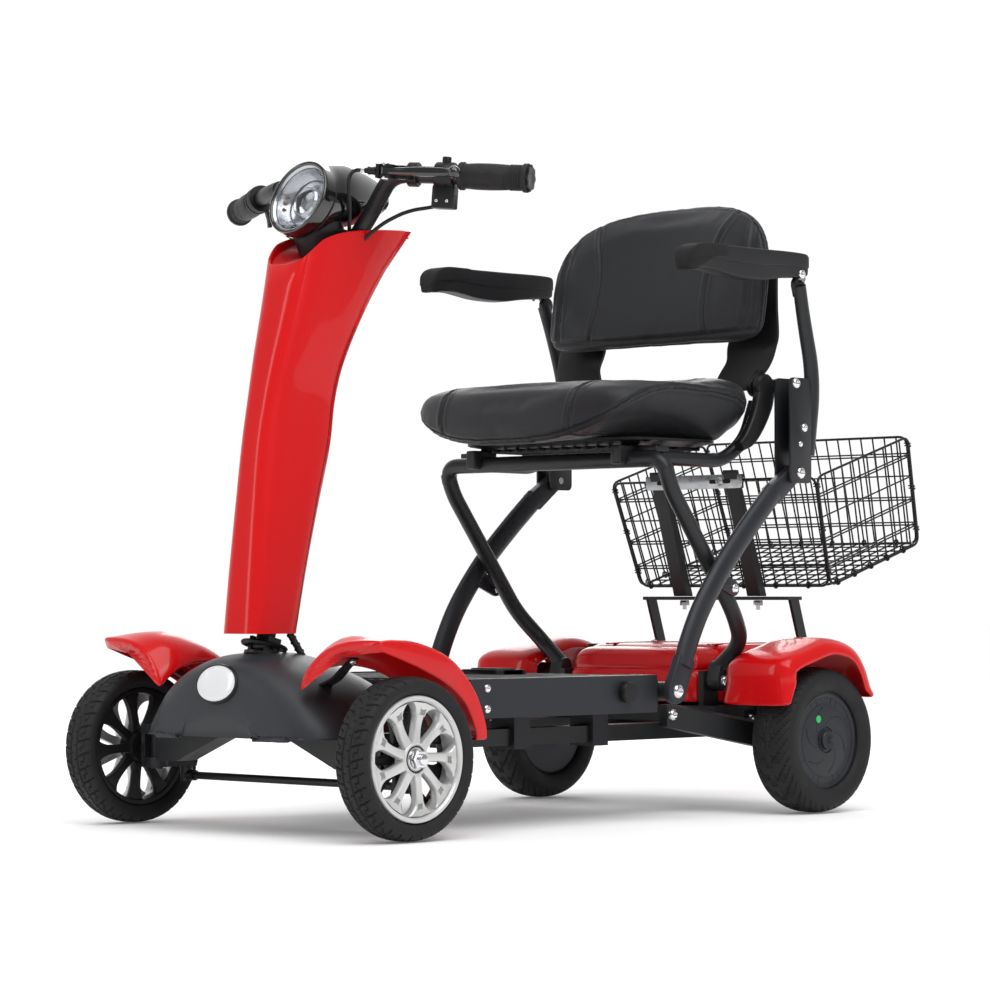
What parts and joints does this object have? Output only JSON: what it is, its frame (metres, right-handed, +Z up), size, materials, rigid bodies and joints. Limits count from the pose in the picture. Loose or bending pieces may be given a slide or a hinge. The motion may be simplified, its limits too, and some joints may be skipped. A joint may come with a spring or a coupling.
{
  "type": "mobility scooter",
  "caption": "Folding four-wheel mobility scooter: scissor seat frame, padded seat with lift-up armrests, raked steering column with headlight and handlebar, footboard, fenders, rear basket",
  "frame": {"origin": "on the floor under the middle of the whole bounding box", "axes": "+Z up, -Y the way the scooter drives, +X the rider's left"},
  "size_m": [0.596, 1.2308, 0.86],
  "materials": {
    "frame_paint": "satin black painted tube and plate",
    "red_gloss": "glossy deep red",
    "cowl_plastic": "satin charcoal",
    "black_plastic": "matte black",
    "tyre_rubber": "matt black",
    "grip_rubber": "matt black",
    "silver_alloy": "satin silver",
    "hub_metal": "dark metallic",
    "steel": "bright plated",
    "spring_red": "red coated",
    "deck_rubber": "ribbed black mat",
    "seat_cover": "grained black",
    "wire_black": "black coated wire",
    "lamp_clear": "clear",
    "black_gloss": "glossy black",
    "badge_light": "pale gloss",
    "grey_plastic": "grey"
  },
  "bodies": {
    "rear_chassis": {"rear_frame": "frame_paint", "rear_cover": "red_gloss", "rear_fender_left": "red_gloss", "rear_fender_right": "red_gloss", "rack_bracket": "frame_paint", "basket_posts": "frame_paint", "basket": "wire_black", "battery_pack": "black_plastic", "rear_bolts": "steel"},
    "rear_wheel_left": {"rear_tyre_left": "tyre_rubber", "rear_hub_left": "hub_metal"},
    "rear_wheel_right": {"rear_tyre_right": "tyre_rubber", "rear_hub_right": "hub_metal"},
    "front_chassis": {"footboard_frame": "frame_paint", "footboard_deck": "deck_rubber", "front_frame": "frame_paint", "front_cover": "cowl_plastic", "badge": "badge_light", "front_fender_left": "red_gloss", "front_fender_right": "red_gloss", "fender_brackets": "frame_paint", "front_springs": "spring_red"},
    "leg_b_frame": {"leg_b": "frame_paint"},
    "leg_a_frame": {"leg_a_left": "frame_paint", "leg_a_right": "frame_paint", "leg_a_shaft": "frame_paint"},
    "post_left": {"seat_post_left": "frame_paint"},
    "post_right": {"seat_post_right": "frame_paint"},
    "seat": {"seat_rails": "frame_paint", "seat_pan": "black_plastic", "seat_cushion": "seat_cover"},
    "backrest": {"back_support": "frame_paint", "backrest_cushion": "seat_cover"},
    "arm_left": {"armrest_left": "grey_plastic"},
    "arm_right": {"armrest_right": "grey_plastic"},
    "steering": {"steering_head": "frame_paint"},
    "tiller": {"steering_post": "frame_paint", "column_shroud": "red_gloss", "handlebar_left": "frame_paint", "handlebar_right": "frame_paint", "grip_left": "grip_rubber", "grip_right": "grip_rubber", "headlight_housing": "black_gloss", "headlight_reflector": "steel", "headlight_lens": "lamp_clear", "brake_perch": "black_plastic", "switch_pod": "black_plastic", "brake_cable": "black_plastic", "switch_lead": "black_plastic", "column_lead": "black_plastic"},
    "brake": {"brake_lever": "frame_paint"},
    "throttle": {"throttle_lever": "grey_plastic"},
    "horn": {"horn_button": "grey_plastic"},
    "steer_left": {"knuckle_left": "frame_paint"},
    "steer_right": {"knuckle_right": "frame_paint"},
    "tie": {"tie_rod": "frame_paint"},
    "front_wheel_left": {"front_tyre_left": "tyre_rubber", "front_rim_left": "silver_alloy"},
    "front_wheel_right": {"front_tyre_right": "tyre_rubber", "front_rim_right": "silver_alloy"}
  },
  "joints": [
    {"name": "seat_fold", "type": "hinge", "parent": "rear_chassis", "child": "leg_b_frame", "pos_m": [0, 0.195, 0.18], "axis": [1, 0, 0], "range_deg": [0, 30]},
    {"name": "chassis_slide", "type": "slide", "parent": "rear_chassis", "child": "front_chassis", "axis": [0, -1, 0], "range_m": [0, 0.0945]},
    {"name": "leg_a_turn", "type": "hinge", "parent": "front_chassis", "child": "leg_a_frame", "pos_m": [0, 0.009, 0.171], "axis": [-1, 0, 0], "range_deg": [0, 17.5]},
    {"name": "post_left_turn", "type": "hinge", "parent": "leg_a_frame", "child": "post_left", "pos_m": [0, 0.263, 0.468], "axis": [1, 0, 0], "range_deg": [0, 77.8]},
    {"name": "post_right_turn", "type": "hinge", "parent": "leg_a_frame", "child": "post_right", "pos_m": [0, 0.263, 0.468], "axis": [1, 0, 0], "range_deg": [0, 77.8]},
    {"name": "seat_turn", "type": "hinge", "parent": "leg_b_frame", "child": "seat", "pos_m": [0, 0.018, 0.482], "axis": [-1, 0, 0], "range_deg": [0, 37]},
    {"name": "backrest_fold", "type": "hinge", "parent": "seat", "child": "backrest", "pos_m": [0, 0.228, 0.588], "axis": [1, 0, 0], "range_deg": [0, 55]},
    {"name": "armrest_left_lift", "type": "hinge", "parent": "post_left", "child": "arm_left", "pos_m": [0.243, 0.26, 0.737], "axis": [1, 0, 0], "range_deg": [-90, 0]},
    {"name": "armrest_right_lift", "type": "hinge", "parent": "post_right", "child": "arm_right", "pos_m": [-0.243, 0.26, 0.737], "axis": [1, 0, 0], "range_deg": [-90, 0]},
    {"name": "steering_turn", "type": "hinge", "parent": "front_chassis", "child": "steering", "pos_m": [0, -0.513, 0.242], "axis": [0, 0.2504, 0.9681], "range_deg": [-28, 28]},
    {"name": "tiller_fold", "type": "hinge", "parent": "steering", "child": "tiller", "pos_m": [0, -0.515, 0.23425], "axis": [-1, 0, 0], "range_deg": [0, 27]},
    {"name": "knuckle_left_turn", "type": "hinge", "parent": "front_chassis", "child": "steer_left", "pos_m": [0.208, -0.5155, 0.1], "axis": [0, 0, 1], "range_deg": [-24, 24]},
    {"name": "knuckle_right_turn", "type": "hinge", "parent": "front_chassis", "child": "steer_right", "pos_m": [-0.208, -0.5155, 0.1], "axis": [0, 0, 1], "range_deg": [-24, 24]},
    {"name": "tie_rod_slide", "type": "slide", "parent": "front_chassis", "child": "tie", "axis": [1, 0, 0], "range_m": [-0.0205, 0.0205]},
    {"name": "front_wheel_left_spin", "type": "hinge", "parent": "steer_left", "child": "front_wheel_left", "pos_m": [0.257, -0.5155, 0.1], "axis": [1, 0, 0], "continuous": true},
    {"name": "front_wheel_right_spin", "type": "hinge", "parent": "steer_right", "child": "front_wheel_right", "pos_m": [-0.257, -0.5155, 0.1], "axis": [1, 0, 0], "continuous": true},
    {"name": "rear_wheel_left_spin", "type": "hinge", "parent": "rear_chassis", "child": "rear_wheel_left", "pos_m": [0.259, 0.2655, 0.1], "axis": [1, 0, 0], "continuous": true},
    {"name": "rear_wheel_right_spin", "type": "hinge", "parent": "rear_chassis", "child": "rear_wheel_right", "pos_m": [-0.259, 0.2655, 0.1], "axis": [1, 0, 0], "continuous": true},
    {"name": "brake_squeeze", "type": "hinge", "parent": "tiller", "child": "brake", "pos_m": [0.1211, -0.41965, 0.83599], "axis": [0.0638, 0.0303, 0.9975], "range_deg": [0, 7], "stiffness_Nm_per_rad": 2, "springref_deg": -2.86},
    {"name": "throttle_push", "type": "hinge", "parent": "tiller", "child": "throttle", "pos_m": [-0.18209, -0.3597, 0.83028], "axis": [-0.9011, 0.4278, -0.0706], "range_deg": [0, 25], "stiffness_Nm_per_rad": 0.3, "springref_deg": -11.46},
    {"name": "horn_press", "type": "slide", "parent": "tiller", "child": "horn", "axis": [-0.0638, -0.0303, -0.9975], "range_m": [0, 0.002], "stiffness_N_per_m": 300, "springref_m": -0.0006}
  ],
  "couplings": [
    {"joint": "chassis_slide", "follows": "seat_fold", "m_per_rad": 0.18},
    {"joint": "leg_a_turn", "follows": "seat_fold", "ratio": 0.5772},
    {"joint": "post_left_turn", "follows": "seat_fold", "ratio": 2.585},
    {"joint": "post_right_turn", "follows": "seat_fold", "ratio": 2.585},
    {"joint": "seat_turn", "follows": "seat_fold", "ratio": 1.2267},
    {"joint": "knuckle_left_turn", "follows": "steering_turn", "ratio": 0.85},
    {"joint": "knuckle_right_turn", "follows": "steering_turn", "ratio": 0.85},
    {"joint": "tie_rod_slide", "follows": "steering_turn", "m_per_rad": -0.0413}
  ]
}
